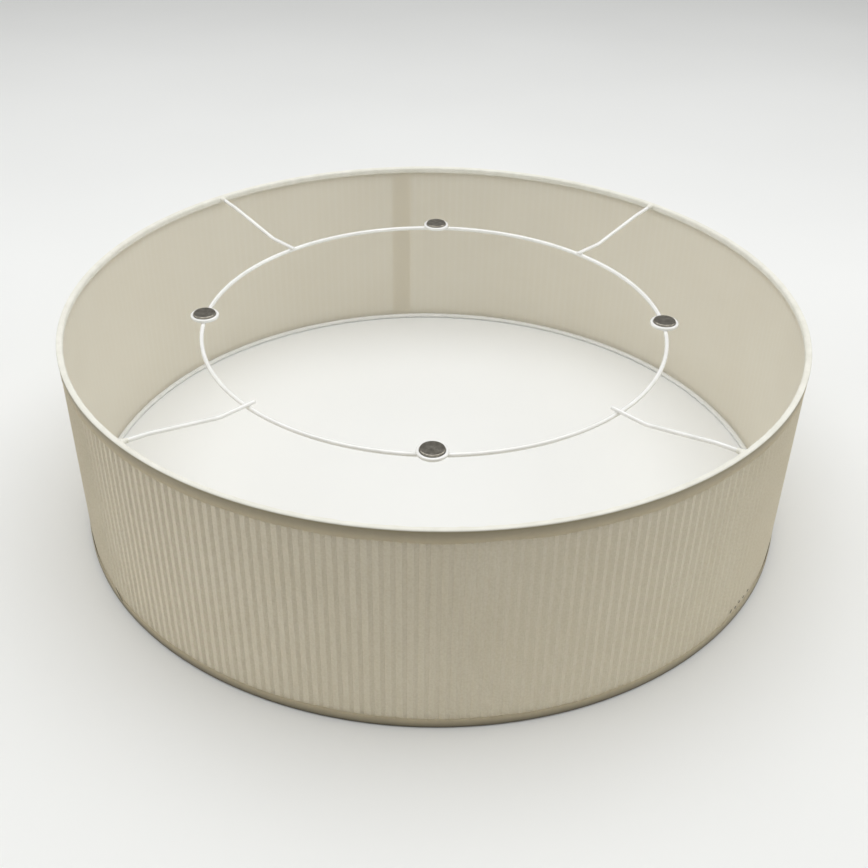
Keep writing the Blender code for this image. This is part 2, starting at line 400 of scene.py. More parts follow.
@dataclass(frozen=True)
class WovenTape:
    """Cotton binding tape cut from plain-woven cloth: matt off-white, and beige where it lies on the cover.

    The UV map's second axis starts at the outer corner, and is negative on the leg. The leg goes from
    on_cover at its cut edge to a darker painted shade over its last shaded_width, where the roll shades it,
    and fades to dark and light past turn.
    """

    dark: str = "ecebe2"
    light: str = "f7f6ef"
    on_cover: str = "eee5d0"
    # painted shade: the leg darkens to this near the roll, where the roll shades it
    painted_shade_at_turn: str = "a99e82"
    glow: str = "f5eedd"
    see_through: float = 0.60
    turn_through: float = 0.0
    shaded_width: float = 7.0 * MM
    turn: float = 0.4 * MM
    fade: float = 0.9 * MM
    # how dark the painted contact shadow at the corner gets; 1 paints none
    painted_contact_shadow: float = 1.0
    name: str = "cotton_tape_woven"
    thread_pitch: float = 1.3 * MM  # real threads lie 0.4 mm apart, drawn coarser to show
    roughness: float = 0.85

    def build(self) -> bpy.types.Material:
        """Make threads, slubs and handling marks on off-white cloth, a painted shade on the leg by the roll,
        and a painted contact shadow at the corner.

        Returns:
            The material.
        """
        material, tree = new_material(self.name)
        threads = weave(tree, self.thread_pitch)
        colour = tint(tree, noise(tree, 12 * MM, 4.0), self.dark, self.light, 0.3, 0.65)
        across = cloth_axes(tree).outputs["Y"]
        off_cover = remap(tree, across, (self.turn, self.turn + self.fade))
        to_turn = remap(tree, across, (-self.shaded_width, 0.0))
        # painted shade: the leg's colour darkens towards the roll
        leg = tint(tree, to_turn, self.on_cover, self.painted_shade_at_turn)
        # painted contact shadow: the colour darkens over the corner
        shade = remap(tree, across, (-0.4 * MM, 0.8 * MM), (1.0, self.painted_contact_shadow))
        toned = blend(tree, off_cover, multiply(tree, leg, shade), colour)
        colour = multiply(tree, toned, tint(tree, threads, "f3f2ee", "ffffff", 0.0, 0.8))
        normal = bump(tree, threads, 0.6, 0.10 * MM)
        normal = bump(tree, noise(tree, 1.8 * MM, 3.0), 0.5, 0.15 * MM, normal)
        face = add_node(
            tree,
            "BsdfPrincipled",
            {
                "Base Color": colour,
                "Roughness": self.roughness,
                "Sheen Weight": 0.2,
                "Specular IOR Level": 0.25,
                "Normal": normal,
            },
        )
        passed = remap(tree, to_turn, (0.0, 1.0), (self.see_through, self.turn_through))
        share = work_out(tree, "MULTIPLY", passed, work_out(tree, "SUBTRACT", 1.0, off_cover))
        show_with_glow(tree, face, self.glow, share, normal)
        return material


@dataclass(frozen=True)
class PowderCoat:
    """Polyester powder coat baked on steel wire: glossy white with a faint orange peel."""

    dark: str = "f2f2ef"
    light: str = "fafaf8"
    roughness: float = 0.20
    peel: float = 1.5 * MM

    def build(self) -> bpy.types.Material:
        """Make gloss over white, rougher where the coat is thin.

        Returns:
            The material.
        """
        material, tree = new_material("powder_coat_baked_white")
        lumps = noise(tree, self.peel, 2.0)
        colour = tint(tree, noise(tree, 15 * MM), self.dark, self.light, 0.3, 0.7)
        rough = remap(tree, lumps, (0.0, 1.0), (self.roughness - 0.06, self.roughness + 0.10))
        normal = bump(tree, lumps, 0.25, 0.08 * MM)
        face = add_node(
            tree,
            "BsdfPrincipled",
            {
                "Base Color": colour,
                "Roughness": rough,
                "IOR": 1.5,
                "Coat Weight": 0.6,
                "Coat Roughness": 0.12,
                "Normal": normal,
            },
        )
        show(tree, face.outputs[0])
        return material


@dataclass(frozen=True)
class NickelPlate:
    """Nickel plated over a sintered magnet: a dark mirror with fine handling scratches."""

    dark: str = "918c82"
    light: str = "b1aca2"
    roughness: float = 0.16

    def build(self) -> bpy.types.Material:
        """Make bright metal, dulled in smears and along hair scratches.

        Returns:
            The material.
        """
        material, tree = new_material("nickel_plate_polished")
        smear = noise(tree, 4 * MM, 3.0)
        place = add_node(tree, "TexCoord")
        drawn = add_node(
            tree,
            "Mapping",
            {
                "Vector": place.outputs["Object"],
                "Rotation": (0.0, 0.0, 0.6),
                "Scale": (300.0, 6000.0, 300.0),
            },
        )
        scratches = add_node(
            tree, "TexNoise", {"Vector": drawn.outputs["Vector"], "Scale": 1.0, "Detail": 1.0}
        )
        rough = remap(tree, smear, (0.0, 1.0), (self.roughness - 0.05, self.roughness + 0.14))
        normal = bump(tree, scratches.outputs["Fac"], 0.06, 0.02 * MM)
        face = add_node(
            tree,
            "BsdfPrincipled",
            {
                "Base Color": tint(tree, smear, self.dark, self.light, 0.3, 0.7),
                "Metallic": 1.0,
                "Roughness": rough,
                "Normal": normal,
            },
        )
        show(tree, face.outputs[0])
        return material


@dataclass(frozen=True)
class DrawnSteel:
    """Low-carbon steel wire as drawn: dull grey with streaks along the wire."""

    dark: str = "6f6d69"
    light: str = "918f8a"
    roughness: float = 0.42

    def build(self) -> bpy.types.Material:
        """Make grey metal, streaked and a little stained.

        Returns:
            The material.
        """
        material, tree = new_material("steel_wire_drawn")
        streak = noise(tree, 3 * MM, 4.0)
        rough = remap(tree, streak, (0.0, 1.0), (self.roughness - 0.08, self.roughness + 0.13))
        face = add_node(
            tree,
            "BsdfPrincipled",
            {
                "Base Color": tint(tree, streak, self.dark, self.light, 0.3, 0.7),
                "Metallic": 1.0,
                "Roughness": rough,
                "Normal": bump(tree, streak, 0.1, 0.02 * MM),
            },
        )
        show(tree, face.outputs[0])
        return material


@dataclass(frozen=True)
class TransferAdhesive:
    """Double-sided acrylic transfer tape, cast on a carrier: a milky film with small bubbles."""

    dark: str = "e2dccb"
    light: str = "ece7d9"
    glow: str = "f4f0e4"
    see_through: float = 0.75
    roughness: float = 0.35

    def build(self) -> bpy.types.Material:
        """Make a soft gloss, dimpled where air is caught.

        Returns:
            The material.
        """
        material, tree = new_material("acrylic_adhesive_cast")
        bubbles = noise(tree, 2 * MM, 2.0)
        face = add_node(
            tree,
            "BsdfPrincipled",
            {
                "Base Color": tint(tree, bubbles, self.dark, self.light, 0.35, 0.6),
                "Roughness": self.roughness,
                "Normal": bump(tree, bubbles, 0.2, 0.05 * MM),
            },
        )
        show_with_glow(tree, face, self.glow, self.see_through)
        return material


@dataclass(frozen=True)
class SweepPaper:
    """Matt background paper, rolled out flat."""

    dark: str = "eeefee"
    light: str = "f2f3f2"

    def build(self) -> bpy.types.Material:
        """Make plain, with the faintest clouding.

        Returns:
            The material.
        """
        material, tree = new_material("background_paper_matt")
        colour = tint(tree, noise(tree, 0.5, 2.0), self.dark, self.light, 0.3, 0.7)
        face = add_node(tree, "BsdfPrincipled", {"Base Color": colour, "Roughness": 0.9})
        show(tree, face.outputs[0])
        return material


# ---------------------------------------------------------------------------
# Surfaces
# ---------------------------------------------------------------------------


def grid_object(
    name: str,
    points: Array,
    uv: Array,
    material: bpy.types.Material,
    wrap_columns: bool = False,
    wrap_rows: bool = False,
    poles: bool = False,
) -> bpy.types.Object:
    """Put a grid of points into a mesh of quads, facing along column direction x row direction.

    Args:
        name: The piece's name.
        points: Positions, of shape (rows, columns, 3).
        uv: UV positions in metres, one row or column longer than points where that side wraps.
        material: The finish.
        wrap_columns: Join the last column to the first.
        wrap_rows: Join the last row to the first.
        poles: Merge points that lie on one spot.

    Returns:
        The new object, linked to the scene.
    """
    rows, columns = points.shape[:2]
    i = np.arange(rows if wrap_rows else rows - 1)[:, None]
    j = np.arange(columns if wrap_columns else columns - 1)[None, :]
    down, right = (i + 1) % rows, (j + 1) % columns
    ring = (i * columns + j, i * columns + right, down * columns + right, down * columns + j)
    corners = np.stack(np.broadcast_arrays(*ring), axis=-1).reshape(-1, 4)
    spread = np.stack([uv[i, j], uv[i, j + 1], uv[i + 1, j + 1], uv[i + 1, j]], axis=-2)
    mesh = bpy.data.meshes.new(name)
    mesh.vertices.add(rows * columns)
    mesh.vertices.foreach_set("co", points.astype(np.float32).ravel())
    mesh.loops.add(corners.size)
    mesh.loops.foreach_set("vertex_index", corners.astype(np.int32).ravel())
    mesh.polygons.add(len(corners))
    mesh.polygons.foreach_set("loop_start", np.arange(0, corners.size, 4, dtype=np.int32))
    mesh.polygons.foreach_set("use_smooth", np.ones(len(corners), bool))
    mesh.update(calc_edges=True)
    layer = mesh.uv_layers.new(name="cloth")
    layer.uv.foreach_set("vector", spread.astype(np.float32).ravel())
    mesh.validate()
    if poles:
        work = bmesh.new()
        work.from_mesh(mesh)
        bmesh.ops.remove_doubles(work, verts=work.verts, dist=POLE_MERGE)
        work.to_mesh(mesh)
        work.free()
    mesh.materials.append(material)
    obj = bpy.data.objects.new(name, mesh)
    bpy.context.scene.collection.objects.link(obj)
    return obj


def round_axis(radius: Array, height: Array, angles: Array) -> Array:
    """Carry (radius, height) points round the Z axis.

    The point at angle a is (radius cos a, radius sin a, height). Radius and height may change with the angle.

    Args:
        radius: Radii that broadcast to (rows, columns).
        height: Heights that broadcast to (rows, columns).
        angles: The columns' angles.

    Returns:
        Positions of shape (rows, columns, 3).
    """
    return np.stack(
        np.broadcast_arrays(radius * np.cos(angles), radius * np.sin(angles), height), axis=-1
    )


def plan_uv(along: Array, across: Array) -> Array:
    """Return UV positions from distances along the columns and across the rows."""
    return np.stack(np.broadcast_arrays(along[None, :], across[:, None]), axis=-1)


def run_length(x: Array, y: Array) -> Array:
    """Return how far along a line of (x, y) points each one lies."""
    return np.concatenate([[0.0], np.cumsum(np.hypot(np.diff(x), np.diff(y)))])


def ripple(angles: Array, lowest: int, highest: int, seed: int) -> Array:
    """Return a wave that closes on itself: a sum of cosines of whole waves per turn with seeded phases.

    Args:
        angles: Where it is wanted.
        lowest: The fewest waves in a turn.
        highest: The most waves in a turn.
        seed: The seed of the phases and heights.

    Returns:
        Heights with a root mean square near 1.
    """
    draw = np.random.default_rng(seed)
    waves = draw.integers(lowest, highest + 1, 12)[:, None]
    phases = draw.uniform(0.0, FULL_TURN, 12)[:, None]
    heights = draw.uniform(0.5, 1.0, 12)[:, None]
    total = (heights * np.cos(waves * np.ravel(angles)[None, :] + phases)).sum(axis=0)
    return total.reshape(np.shape(angles)) / math.sqrt(float((heights**2).sum()) / 2.0)


def hump(angles: Array, centre: float, width: float) -> Array:
    """Return a bell of height 1 at an angle: exp(-(distance / width)^2), measured the short way round."""
    away = (np.asarray(angles) - centre + math.pi) % FULL_TURN - math.pi
    return np.exp(-((away / width) ** 2))


def arc_points(centre: tuple[float, float], radius: float, start: float, end: float, count: int) -> Array:
    """Return count (x, y) points of an arc between two angles in degrees, of shape (count, 2)."""
    angles = np.radians(np.linspace(start, end, count))
    return np.stack([centre[0] + radius * np.cos(angles), centre[1] + radius * np.sin(angles)], axis=-1)


def profile_normals(profile: Array) -> Array:
    """Work out the unit normals to the right of a line of points, for its outer side.

    Args:
        profile: The (radius, height) points.

    Returns:
        Normals of shape (count, 2).
    """
    tangent = np.gradient(profile, axis=0)
    tangent /= np.linalg.norm(tangent, axis=1, keepdims=True)
    return np.stack([tangent[:, 1], -tangent[:, 0]], axis=-1)


def turned_object(
    name: str,
    profile: Array,
    material: bpy.types.Material,
    centre: tuple[float, float] = (0.0, 0.0),
    segments: int = 96,
    closed: bool = False,
) -> bpy.types.Object:
    """Turn a (radius, height) profile round an upright axis through a point.

    Args:
        name: The piece's name.
        profile: Points that run up the outer side, of shape (count, 2).
        material: The finish.
        centre: The axis's x and y.
        segments: The number of columns.
        closed: Join the profile's last point to its first, as on a ring.

    Returns:
        The new object.
    """
    angles = np.linspace(0.0, FULL_TURN, segments, endpoint=False)
    points = round_axis(profile[:, :1], profile[:, 1:], angles)
    points = points + np.array([centre[0], centre[1], 0.0])
    ends = np.vstack([profile, profile[:1]]) if closed else profile
    around = np.linspace(0.0, FULL_TURN * float(profile[:, 0].max()), segments + 1)
    uv = plan_uv(around, run_length(ends[:, 0], ends[:, 1]))
    return grid_object(name, points, uv, material, True, closed, not closed)


def finish_piece(obj: bpy.types.Object, slot: Slot, *nodes: str) -> bpy.types.Object:
    """Make a piece ride on the shade, log its slot and hide the CAD nodes that it stands for.

    Args:
        obj: The piece.
        slot: The material slot.
        *nodes: The CAD nodes that it stands for.

    Returns:
        The same piece.
    """
    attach(obj, BODY)
    if nodes:
        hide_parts(*nodes)
    LOG.info("%s: %d faces, %s", obj.name, len(obj.data.polygons), slot.value)
    return obj


# ---------------------------------------------------------------------------
# The shade's walls
# ---------------------------------------------------------------------------


@dataclass
class PleatedCover:
    """The outer cloth: one length, heat-set in knife pleats that all lean one way, kept as one surface."""

    material: bpy.types.Material
    inner_radius: float = 298.5 * MM
    pleat_depth: float = 0.9 * MM
    rise_share: float = 0.6
    blunt: float = 0.06
    wander: float = 0.015
    lean: float = 0.02
    uneven: float = 0.02
    pressed: float = 0.3
    low: float = 2.2 * MM
    high: float = 171.5 * MM
    bound: float = 12.0 * MM
    rows: int = 14
    seed: int = 11

    def pleat(self) -> tuple[Array, Array]:
        """Return where a pleat's columns lie, as shares of its pitch, and how far out each one stands.

        The cloth climbs straight over rise_share of the pitch and falls straight over the rest, with both
        folds blunted.

        Returns:
            The places, and the heights from 0 to 1.
        """
        fold = self.rise_share
        places = np.array([0.0, 0.04, 0.31, fold - 0.04, fold, fold + 0.03, 0.81, 0.97])
        stands = np.where(places < fold, places / fold, (1.0 - places) / (1.0 - fold))
        return places, np.clip(stands, self.blunt, 1.0 - self.blunt)

    def mark_pleats(self, obj: bpy.types.Object, places: Array) -> None:
        """Keep each corner's place in its pleat, counted in pleats, for the material to read.

        Args:
            obj: The cloth.
            places: The columns' shares of the pitch.
        """
        counted = (np.arange(PLEATS + 1)[:, None] + places[None, :]).ravel()
        columns = PLEATS * len(places)
        j = np.arange(columns)
        corners = np.stack([counted[j], counted[j + 1], counted[j + 1], counted[j]], axis=-1)
        values = np.tile(corners.ravel(), self.rows - 1).astype(np.float32)
        layer = obj.data.attributes.new("pleat", "FLOAT", "CORNER")
        layer.data.foreach_set("value", values)

    def build(self) -> bpy.types.Object:
        """Each pleat wanders sideways by a few hundredths of its pitch, and is pressed flatter towards the
        bound edges.

        Returns:
            The cloth.
        """
        places, stands = self.pleat()
        pitch = FULL_TURN / PLEATS
        even = ((np.arange(PLEATS)[:, None] + places[None, :]) * pitch).ravel()
        up = np.linspace(0.0, 1.0, self.rows)
        heights = self.low + (self.high - self.low) * up
        lean = self.wander * ripple(even, 3, 40, self.seed)[None, :]
        lean = lean + self.lean * np.outer(up - 0.5, ripple(even, 5, 60, self.seed + 1))
        angles = even[None, :] + lean * pitch
        edge = np.minimum(heights - self.low, self.high - heights)
        held = self.pressed + (1.0 - self.pressed) * np.clip(edge / self.bound, 0.0, 1.0)[:, None]
        uneven = 1.0 + self.uneven * ripple(even, 40, 120, self.seed + 2)[None, :]
        stand = np.tile(stands, PLEATS)[None, :] * self.pleat_depth * held * uneven
        points = round_axis(self.inner_radius + stand, heights[:, None], angles)
        middle = points[self.rows // 2]
        middle = np.vstack([middle, middle[:1]])
        along = run_length(middle[:, 0], middle[:, 1])
        uv = plan_uv(along, heights)
        obj = grid_object("pleated_fabric_cover", points, uv, self.material, wrap_columns=True)
        self.mark_pleats(obj, places)
        finish_piece(obj, Slot.FABRIC, "pleated_cover")
        return obj


@dataclass
class LaminatePanel:
    """The inner film, rolled once round and over its own start, with glue between the two layers.

    The film is one surface, so light passes it once.
    """

    material: bpy.types.Material
    adhesive: bpy.types.Material
    inner_layer: float = 297.30 * MM
    outer_layer: float = 297.95 * MM
    low: float = 0.7 * MM
    high: float = 171.3 * MM
    lap_angle: float = math.radians(99.0)
    lap_width: float = 19.5 * MM
    step_length: float = 8.0 * MM
    glue_inset: float = 1.0 * MM
    columns: int = 720
    glue_columns: int = 12
    rows: int = 10

    def build(self) -> tuple[bpy.types.Object, bpy.types.Object]:
        """Build the film as radius = inner layer, rising by a smooth step to the outer layer at its end.

        Returns:
            The film and the glue strip.
        """
        length = FULL_TURN * self.inner_layer + self.lap_width
        along = np.linspace(0.0, length, self.columns)
        angles = self.lap_angle - along / self.inner_layer
        step = (along - (length - self.lap_width - self.step_length)) / self.step_length
        step = np.clip(step, 0.0, 1.0)
        rise = step * step * (3.0 - 2.0 * step)
        radius = self.inner_layer + (self.outer_layer - self.inner_layer) * rise
        heights = np.linspace(self.low, self.high, self.rows)
        points = round_axis(radius[None, :], heights[::-1, None], angles)
        uv = plan_uv(along, heights[::-1])
        film = grid_object("laminate_panel", points, uv, self.material)
        finish_piece(film, Slot.LAMINATE, "backing_panel")

        inset = self.glue_inset
        between = (self.inner_layer + self.outer_layer) / 2.0
        across = np.linspace(inset, self.lap_width - inset, self.glue_columns)
        points = round_axis(
            np.full((1, self.glue_columns), between),
            np.linspace(self.high - inset, self.low + inset, self.rows)[:, None],
            self.lap_angle - across / between,
        )
        uv = plan_uv(across, np.linspace(0.0, self.high - self.low, self.rows))
        strip = grid_object("lap_adhesive_strip", points, uv, self.adhesive)
        finish_piece(strip, Slot.ADHESIVE, "seam_tape")
        return film, strip


# ---------------------------------------------------------------------------
# Bound edges
# ---------------------------------------------------------------------------


@dataclass
class EdgeTape:
    """A woven tape folded over one edge: a leg outside, a roll round the rim wire, its end tucked in.

    The tape is one surface. Its leg ends in a cut edge that is turned in onto the cover.
    """

    material: bpy.types.Material
    edge: Edge
    leg: float
    roll: float
    wire_centre: float
    corner: float
    overhang: float
    inner_leg: float = 0.0
    tuck: float = 297.2 * MM
    cut_edge: float = 0.40 * MM
    lump: float = 0.08 * MM
    small_lump: float = 0.05 * MM
    deepest_lump: float = 0.12 * MM
    joint: float = 0.35 * MM
    joint_angle: float = math.radians(86.0)
    leg_points: int = 10
    columns: int = 1440
    seed: int = 21

    def fold(self) -> Array:
        """Draw the fold for an edge at height 0, from the cut edge to the tucked end.

        Returns:
            (radius, height) points, of which the first is the cut edge and the next leg_points are the leg.
        """
        face = SHADE_RADIUS - self.overhang
        cut = np.array([[face - self.cut_edge, -self.leg]])
        leg = np.linspace(-self.leg, -self.corner - 2.0 * self.overhang, self.leg_points)
        outside = np.stack([np.full(self.leg_points, face), leg], axis=-1)
        over = arc_points((SHADE_RADIUS - self.corner, -self.corner), self.corner, 0.0, 90.0, 7)
        roll = arc_points((self.wire_centre, -self.roll), self.roll, 84.0, 180.0, 10)
        under = arc_points((self.wire_centre, -self.roll - self.inner_leg), self.roll, 180.0, 270.0, 9)
        roll = np.vstack([roll, under])
        flat = np.linspace(over[-1], roll[0], 5)[1:-1]
        tuck = np.linspace(roll[-1], (self.tuck, roll[-1][1]), 4)[1:]
        return np.vstack([cut, outside, over, flat, roll, tuck])

    def unevenness(self, angles: Array, fold: Array) -> Array:
        """Work out how far each point stands off the even fold.

        The roll is lumpy over 10 to 40 mm, and steps where the tape's two ends overlap. The leg shows the
        pleats under it.

        Args:
            angles: The columns' angles.
            fold: The fold's points.

        Returns:
            Distances along the fold's normals, of shape (points, columns).
        """
        inward = np.clip((SHADE_RADIUS - fold[:, 0] - MM) / (3 * MM), 0.0, 1.0)[:, None]
        lumps = self.lump * ripple(angles, 45, 190, self.seed)[None, :]
        lumps = lumps + self.small_lump * ripple(angles, 190, 330, self.seed + 1)[None, :]
        lumps = np.maximum(lumps, -self.deepest_lump)
        lumps = lumps + self.joint * hump(angles, self.joint_angle, 0.008)[None, :]
        low = np.clip(-fold[:, 1] / self.leg, 0.0, 1.0)[:, None]
        pleats = -self.lump * (1.0 + np.cos(PLEATS * angles))[None, :]
        return inward * lumps + (1.0 - inward) * low * pleats

    def cut_line(self, angles: Array) -> Array:
        """Work out the leg's length at each angle: wandering, frayed, and drawn out at two spots.

        Args:
            angles: The columns' angles.

        Returns:
            Shares of the even length.
        """
        wander = 0.030 * ripple(angles, 6, 50, self.seed + 3)
        fray = 0.012 * ripple(angles, 200, 700, self.seed + 4)
        left = 0.16 * hump(angles, math.radians(213.0), 0.006)
        right = 0.12 * hump(angles, math.radians(322.0), 0.004)
        return 1.0 + wander + fray + (left + right)

    def build(self, *nodes: str) -> bpy.types.Object:
        """Args:
            *nodes: The CAD nodes that it stands for.

        Returns:
            The tape.
        """
        angles = np.linspace(0.0, FULL_TURN, self.columns, endpoint=False)
        fold = self.fold()
        normals = profile_normals(fold)
        off = self.unevenness(angles, fold)
        radius = fold[:, :1] + normals[:, :1] * off
        drop = np.minimum(fold[:, 1:] + normals[:, 1:] * off, 0.0)
        on_leg = np.arange(len(fold))[:, None] <= self.leg_points
        drop = np.where(on_leg, (drop + self.corner) * self.cut_line(angles)[None, :] - self.corner, drop)
        across = run_length(fold[:, 0], fold[:, 1])
        across = across - across[self.leg_points]
        if self.edge is Edge.TOP:
            height = SHADE_HEIGHT + drop
        else:
            radius, height, across = radius[::-1], -drop[::-1], across[::-1]
        points = round_axis(radius, height, angles)
        along = np.linspace(0.0, FULL_TURN * SHADE_RADIUS, self.columns + 1)
        name = f"{self.edge.name.lower()}_binding_tape"
        obj = grid_object(name, points, plan_uv(along, across), self.material, wrap_columns=True)
        finish_piece(obj, Slot.TAPE, *nodes)
        return obj


@dataclass(frozen=True)
class Sliver:
    """A dark mark at the lower tape's cut edge, from one (degrees, height) to another."""

    name: str
    start: tuple[float, float]
    end: tuple[float, float]
    width: float
    radius: float = 299.6 * MM


@dataclass
class EdgeMarks:
    """Dark slivers at the lower tape's cut edge: thread ends, and a painted shade in a crease."""

    material: bpy.types.Material
    ridge: float = 0.30 * MM
    tip: float = 0.02 * MM
    slivers: tuple[Sliver, ...] = (
        # painted shade: this dark sliver stands for the shade in a crease of the tape
        Sliver("crease", (215.8, 12.2 * MM), (217.9, 6.2 * MM), 3.0 * MM, 300.1 * MM),
        Sliver("nib_a", (319.7, 12.9 * MM), (320.1, 15.6 * MM), 2.4 * MM),
        Sliver("nib_b", (321.2, 12.4 * MM), (321.5, 14.2 * MM), 2.6 * MM),
        Sliver("nib_c", (322.4, 13.8 * MM), (322.7, 15.2 * MM), 2.4 * MM),
        Sliver("nib_d", (323.8, 13.6 * MM), (324.1, 15.0 * MM), 2.6 * MM),
        Sliver("nib_e", (325.3, 14.6 * MM), (325.6, 15.9 * MM), 2.6 * MM),
    )

    def build(self) -> list[bpy.types.Object]:
        """Lay each sliver on the wall as a ridged leaf: width x sqrt(4 t (1 - t)) wide at t along it.

        Returns:
            The slivers.
        """
        pieces = []
        for sliver in self.slivers:
            share = np.linspace(0.0, 1.0, 9)
            angles = np.radians(sliver.start[0] + (sliver.end[0] - sliver.start[0]) * share)
            heights = sliver.start[1] + (sliver.end[1] - sliver.start[1]) * share
            half = 0.5 * sliver.width * np.sqrt(4.0 * share * (1.0 - share)) + self.tip
            sides = np.array([[-1.0], [0.0], [1.0]]) * half[None, :] / sliver.radius
            rise = np.array([[0.0], [self.ridge], [0.0]])
            points = round_axis(sliver.radius + rise, heights[None, :], angles[None, :] + sides)
            order = points if sliver.end[1] < sliver.start[1] else points[:, ::-1]
            uv = plan_uv(share * 5 * MM, np.array([-3.0, -2.6, -2.2]) * MM)
            obj = grid_object(f"worn_thread_{sliver.name}", order, uv, self.material)
            pieces.append(finish_piece(obj, Slot.TAPE))
        return pieces


# ---------------------------------------------------------------------------
# Wire frame
# ---------------------------------------------------------------------------


def wire_ring(
    name: str, radius: float, height: float, wire: float, material: bpy.types.Material, segments: int = 288
) -> bpy.types.Object:
    """Return a ring of round wire: a circle of the wire's radius carried round the axis."""
    section = arc_points((radius, height), wire / 2.0, 0.0, 360.0, 21)[:-1]
    return turned_object(name, section, material, segments=segments, closed=True)


def rounded_route(corners: list[tuple[float, float]], radius: float, step: float) -> Array:
    """Return points along straight runs whose corners are rounded to a radius.

    Args:
        corners: The (radius, height) corners.
        radius: The bends' radius.
        step: The longest distance between points.

    Returns:
        Points of shape (count, 2).
    """
    places = np.array(corners)
    route = [places[:1]]
    for before, corner, after in zip(places, places[1:], places[2:]):
        inward = (before - corner) / np.linalg.norm(before - corner)
        outward = (after - corner) / np.linalg.norm(after - corner)
        half = math.acos(float(np.clip(inward @ outward, -1.0, 1.0))) / 2.0
        middle = (inward + outward) / np.linalg.norm(inward + outward)
        centre = corner + middle * radius / math.sin(half)
        first = corner + inward * radius / math.tan(half) - centre
        last = corner + outward * radius / math.tan(half) - centre
        share = np.linspace(0.0, 1.0, 9)[:, None]
        rays = first * (1.0 - share) + last * share
        route.append(centre + rays / np.linalg.norm(rays, axis=1, keepdims=True) * radius)
    route.append(places[-1:])
    rough = np.vstack(route)
    lengths = run_length(rough[:, 0], rough[:, 1])
    even = np.linspace(0.0, lengths[-1], int(lengths[-1] / step) + 2)
    return np.stack([np.interp(even, lengths, rough[:, k]) for k in (0, 1)], axis=-1)


def bar_points(route: Array, widths: Array, heights: Array, azimuth: float, sides: int) -> Array:
    """Return a round bar's surface along a route in an upright plane.

    The point at angle b of a section is centre + width cos b across - height sin b upward normal.

    Args:
        route: (radius, height) points of the middle line.
        widths: Half the bar's width at each point.
        heights: Half the bar's height at each point.
        azimuth: The plane's angle round the axis.
        sides: Points round a section.

    Returns:
        Positions of shape (sides, count, 3).
    """
    tangent = np.gradient(route, axis=0)
    tangent /= np.linalg.norm(tangent, axis=1, keepdims=True)
    outward = np.array([math.cos(azimuth), math.sin(azimuth), 0.0])
    across = np.array([-math.sin(azimuth), math.cos(azimuth), 0.0])
    centre = route[:, :1] * outward + route[:, 1:] * np.array([0.0, 0.0, 1.0])
    upward = -tangent[:, 1:] * outward + tangent[:, :1] * np.array([0.0, 0.0, 1.0])
    turn = np.linspace(0.0, FULL_TURN, sides, endpoint=False)[:, None, None]
    sideways = np.cos(turn) * across * widths[None, :, None]
    return centre[None] + sideways - np.sin(turn) * upward[None] * heights[None, :, None]


